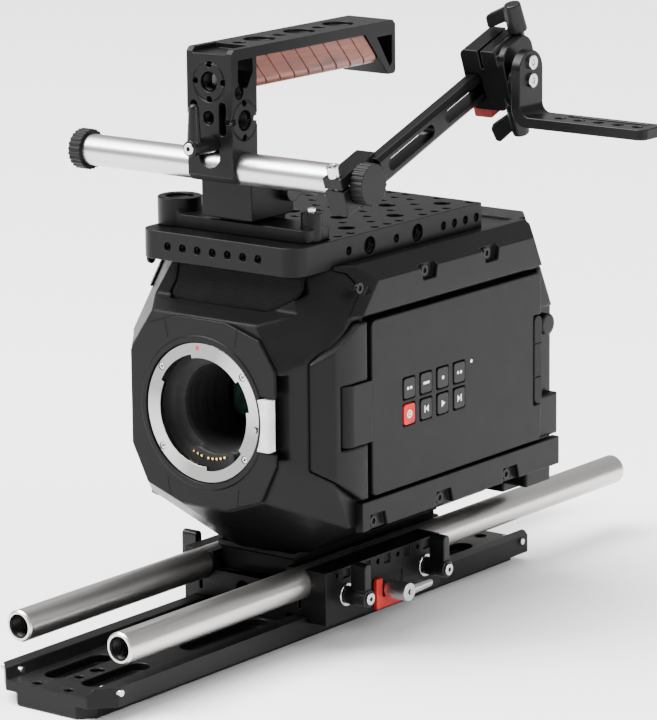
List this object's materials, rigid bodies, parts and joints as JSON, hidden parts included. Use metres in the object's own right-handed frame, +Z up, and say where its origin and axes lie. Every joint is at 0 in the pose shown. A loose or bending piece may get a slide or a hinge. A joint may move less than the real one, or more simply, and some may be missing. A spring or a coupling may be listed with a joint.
{
  "type": "cinema camera rig",
  "caption": "Boxy digital cinema camera on a bridgeplate and dovetail plate, with rods, a perforated top plate, a wood-gripped handle and a viewfinder arm.",
  "frame": {"origin": "on the dovetail plate's underside, below the lens axis, in the plane of the lens flange's seat", "axes": "+Z up, -Y along the lens axis towards the scene, +X towards the side with the monitor door"},
  "size_m": [0.263, 0.414, 0.3028],
  "materials": {
    "plate_black": "satin black anodised",
    "bridge_black": "satin black anodised",
    "handle_black": "satin black anodised",
    "arm_black": "satin black anodised",
    "rod_steel": "turned stainless",
    "mount_steel": "machined stainless",
    "screw_steel": "bright",
    "lever_black": "black",
    "lever_bright": "polished",
    "catch_red": "red anodised",
    "case_grey": "fine moulded texture",
    "door_grey": "fine moulded texture",
    "rail_black": "satin black anodised",
    "bezel_black": "smooth",
    "baffle_black": "flocked",
    "contact_gold": "plated",
    "board_green": "circuit board",
    "button_white": "pearl",
    "key_dark": "satin",
    "key_red": "satin",
    "screen_glass": "glossy",
    "strip_rubber": "matt",
    "grille_metal": "perforated",
    "grip_wood": "oiled",
    "pad_red": "matt",
    "knob_black": "knurled"
  },
  "bodies": {
    "dovetail": {"dovetail_plate": "plate_black", "stop_pins": "screw_steel"},
    "camera": {"bridge_body": "bridge_black", "camera_plate": "bridge_black", "lever_studs": "screw_steel", "body_shell": "case_grey", "rear_shell": "case_grey", "battery_plate": "bezel_black", "side_rails": "rail_black", "case_screws": "screw_steel", "hinge_cover": "case_grey", "edge_strip": "strip_rubber", "left_panel": "door_grey", "grip_mount": "rail_black", "front_bezel": "bezel_black", "lens_mount": "mount_steel", "throat_baffle": "baffle_black", "contact_pins": "contact_gold", "inner_boards": "board_green", "grille": "grille_metal", "top_plate": "plate_black", "nato_base": "plate_black"},
    "rod_left": {"rod_left": "rod_steel"},
    "rod_right": {"rod_right": "rod_steel"},
    "rod_lever_front": {"rod_lever_front": "lever_black"},
    "rod_lever_rear": {"rod_lever_rear": "lever_black"},
    "rod_lever_left": {"rod_lever_left": "lever_black"},
    "lock_lever": {"lock_lever": "lever_bright"},
    "lock_jaw": {"lock_jaw": "bridge_black"},
    "safety_catch": {"safety_catch": "catch_red"},
    "door": {"door_shell": "door_grey", "door_screen": "screen_glass", "hinge_block": "bezel_black"},
    "key_1": {"key_1": "key_dark"},
    "key_2": {"key_2": "key_dark"},
    "key_3": {"key_3": "key_dark"},
    "key_4": {"key_4": "key_dark"},
    "key_5": {"key_5": "key_red"},
    "key_6": {"key_6": "key_dark"},
    "key_7": {"key_7": "key_dark"},
    "key_8": {"key_8": "key_dark"},
    "lens_release": {"lens_release": "button_white"},
    "lock_pin": {"lock_pin": "mount_steel"},
    "handle": {"riser_block": "handle_black", "handle_frame": "handle_black", "wood_grip": "grip_wood", "handle_screws": "screw_steel"},
    "riser_lever": {"riser_lever": "lever_black"},
    "rod_lever_top": {"rod_lever_top": "lever_black"},
    "upper_rod": {"upper_rod": "rod_steel", "rod_cap_left": "knob_black"},
    "finder_knob": {"rod_cap_right": "knob_black"},
    "finder_arm": {"finder_arm": "arm_black", "arm_screw": "screw_steel"},
    "sliding_block": {"sliding_block": "arm_black", "block_pad": "pad_red"},
    "top_wing": {"top_wing": "lever_black"},
    "bottom_wing": {"bottom_wing": "lever_black"},
    "bracket": {"bracket": "arm_black", "bracket_screws": "screw_steel"}
  },
  "joints": [
    {"name": "bridge_slide", "type": "slide", "parent": "dovetail", "child": "camera", "axis": [0, 1, 0], "range_m": [-0.08, 0.05]},
    {"name": "rod_left_slide", "type": "slide", "parent": "camera", "child": "rod_left", "axis": [0, 1, 0], "range_m": [-0.06, 0.06]},
    {"name": "rod_right_slide", "type": "slide", "parent": "camera", "child": "rod_right", "axis": [0, 1, 0], "range_m": [-0.06, 0.06]},
    {"name": "rod_lever_front_turn", "type": "hinge", "parent": "camera", "child": "rod_lever_front", "pos_m": [0.05, 0.049, 0.0245], "axis": [1, 0, 0], "range_deg": [0, 90]},
    {"name": "rod_lever_rear_turn", "type": "hinge", "parent": "camera", "child": "rod_lever_rear", "pos_m": [0.05, 0.112, 0.0245], "axis": [1, 0, 0], "range_deg": [-90, 0]},
    {"name": "rod_lever_left_turn", "type": "hinge", "parent": "camera", "child": "rod_lever_left", "pos_m": [-0.044, 0.049, 0.0245], "axis": [1, 0, 0], "range_deg": [0, 90]},
    {"name": "lock_lever_turn", "type": "hinge", "parent": "camera", "child": "lock_lever", "pos_m": [0.046, 0.079, 0.021], "axis": [1, 0, 0], "range_deg": [0, 90]},
    {"name": "lock_jaw_slide", "type": "slide", "parent": "camera", "child": "lock_jaw", "axis": [1, 0, 0], "range_m": [0, 0.0012]},
    {"name": "safety_catch_slide", "type": "slide", "parent": "camera", "child": "safety_catch", "axis": [0, 0, -1], "range_m": [0, 0.0025], "stiffness_N_per_m": 300},
    {"name": "door_swing", "type": "hinge", "parent": "camera", "child": "door", "pos_m": [0.0584, 0.0322, 0.1155], "axis": [0, 0, -1], "range_deg": [0, 105]},
    {"name": "key_1_press", "type": "slide", "parent": "door", "child": "key_1", "axis": [-1, 0, 0], "range_m": [0, 0.0008], "stiffness_N_per_m": 400},
    {"name": "key_2_press", "type": "slide", "parent": "door", "child": "key_2", "axis": [-1, 0, 0], "range_m": [0, 0.0008], "stiffness_N_per_m": 400},
    {"name": "key_3_press", "type": "slide", "parent": "door", "child": "key_3", "axis": [-1, 0, 0], "range_m": [0, 0.0008], "stiffness_N_per_m": 400},
    {"name": "key_4_press", "type": "slide", "parent": "door", "child": "key_4", "axis": [-1, 0, 0], "range_m": [0, 0.0008], "stiffness_N_per_m": 400},
    {"name": "key_5_press", "type": "slide", "parent": "door", "child": "key_5", "axis": [-1, 0, 0], "range_m": [0, 0.0008], "stiffness_N_per_m": 400},
    {"name": "key_6_press", "type": "slide", "parent": "door", "child": "key_6", "axis": [-1, 0, 0], "range_m": [0, 0.0008], "stiffness_N_per_m": 400},
    {"name": "key_7_press", "type": "slide", "parent": "door", "child": "key_7", "axis": [-1, 0, 0], "range_m": [0, 0.0008], "stiffness_N_per_m": 400},
    {"name": "key_8_press", "type": "slide", "parent": "door", "child": "key_8", "axis": [-1, 0, 0], "range_m": [0, 0.0008], "stiffness_N_per_m": 400},
    {"name": "lens_release_press", "type": "slide", "parent": "camera", "child": "lens_release", "axis": [0, 1, 0], "range_m": [0, 0.002], "stiffness_N_per_m": 600},
    {"name": "lock_pin_slide", "type": "slide", "parent": "camera", "child": "lock_pin", "axis": [0, 1, 0], "range_m": [0, 0.002]},
    {"name": "handle_slide", "type": "slide", "parent": "camera", "child": "handle", "axis": [0, 1, 0], "range_m": [-0.015, 0]},
    {"name": "riser_lever_turn", "type": "hinge", "parent": "handle", "child": "riser_lever", "pos_m": [0.016, 0.0456, 0.2159], "axis": [1, 0, 0], "range_deg": [0, 90]},
    {"name": "rod_lever_top_turn", "type": "hinge", "parent": "handle", "child": "rod_lever_top", "pos_m": [0.0018, 0, 0.2419], "axis": [0, 1, 0], "range_deg": [-60, 60]},
    {"name": "upper_rod_slide", "type": "slide", "parent": "handle", "child": "upper_rod", "axis": [1, 0, 0], "range_m": [-0.003, 0.03]},
    {"name": "finder_knob_turn", "type": "hinge", "parent": "upper_rod", "child": "finder_knob", "pos_m": [0.083, 0.018, 0.23], "axis": [1, 0, 0], "continuous": true},
    {"name": "arm_swing", "type": "hinge", "parent": "upper_rod", "child": "finder_arm", "pos_m": [0.075, 0.018, 0.23], "axis": [1, 0, 0], "range_deg": [-30, 110]},
    {"name": "block_slide", "type": "slide", "parent": "finder_arm", "child": "sliding_block", "axis": [0, 0.9397, 0.342], "range_m": [-0.02, 0.003]},
    {"name": "top_wing_turn", "type": "hinge", "parent": "sliding_block", "child": "top_wing", "pos_m": [0.0944, 0.11864, 0.29324], "axis": [0, -0.342, 0.9397], "range_deg": [-80, 80]},
    {"name": "bottom_wing_turn", "type": "hinge", "parent": "sliding_block", "child": "bottom_wing", "pos_m": [0.094, 0.12163, 0.24643], "axis": [0, -0.342, 0.9397], "range_deg": [-80, 80]},
    {"name": "bracket_tilt", "type": "hinge", "parent": "sliding_block", "child": "bracket", "pos_m": [0.1, 0.11188, 0.26736], "axis": [1, 0, 0], "range_deg": [-90, 90]}
  ],
  "couplings": [
    {"joint": "lock_lever_turn", "follows": "lock_jaw_slide", "rad_per_m": 1309},
    {"joint": "lock_pin_slide", "follows": "lens_release_press", "ratio": 1}
  ]
}
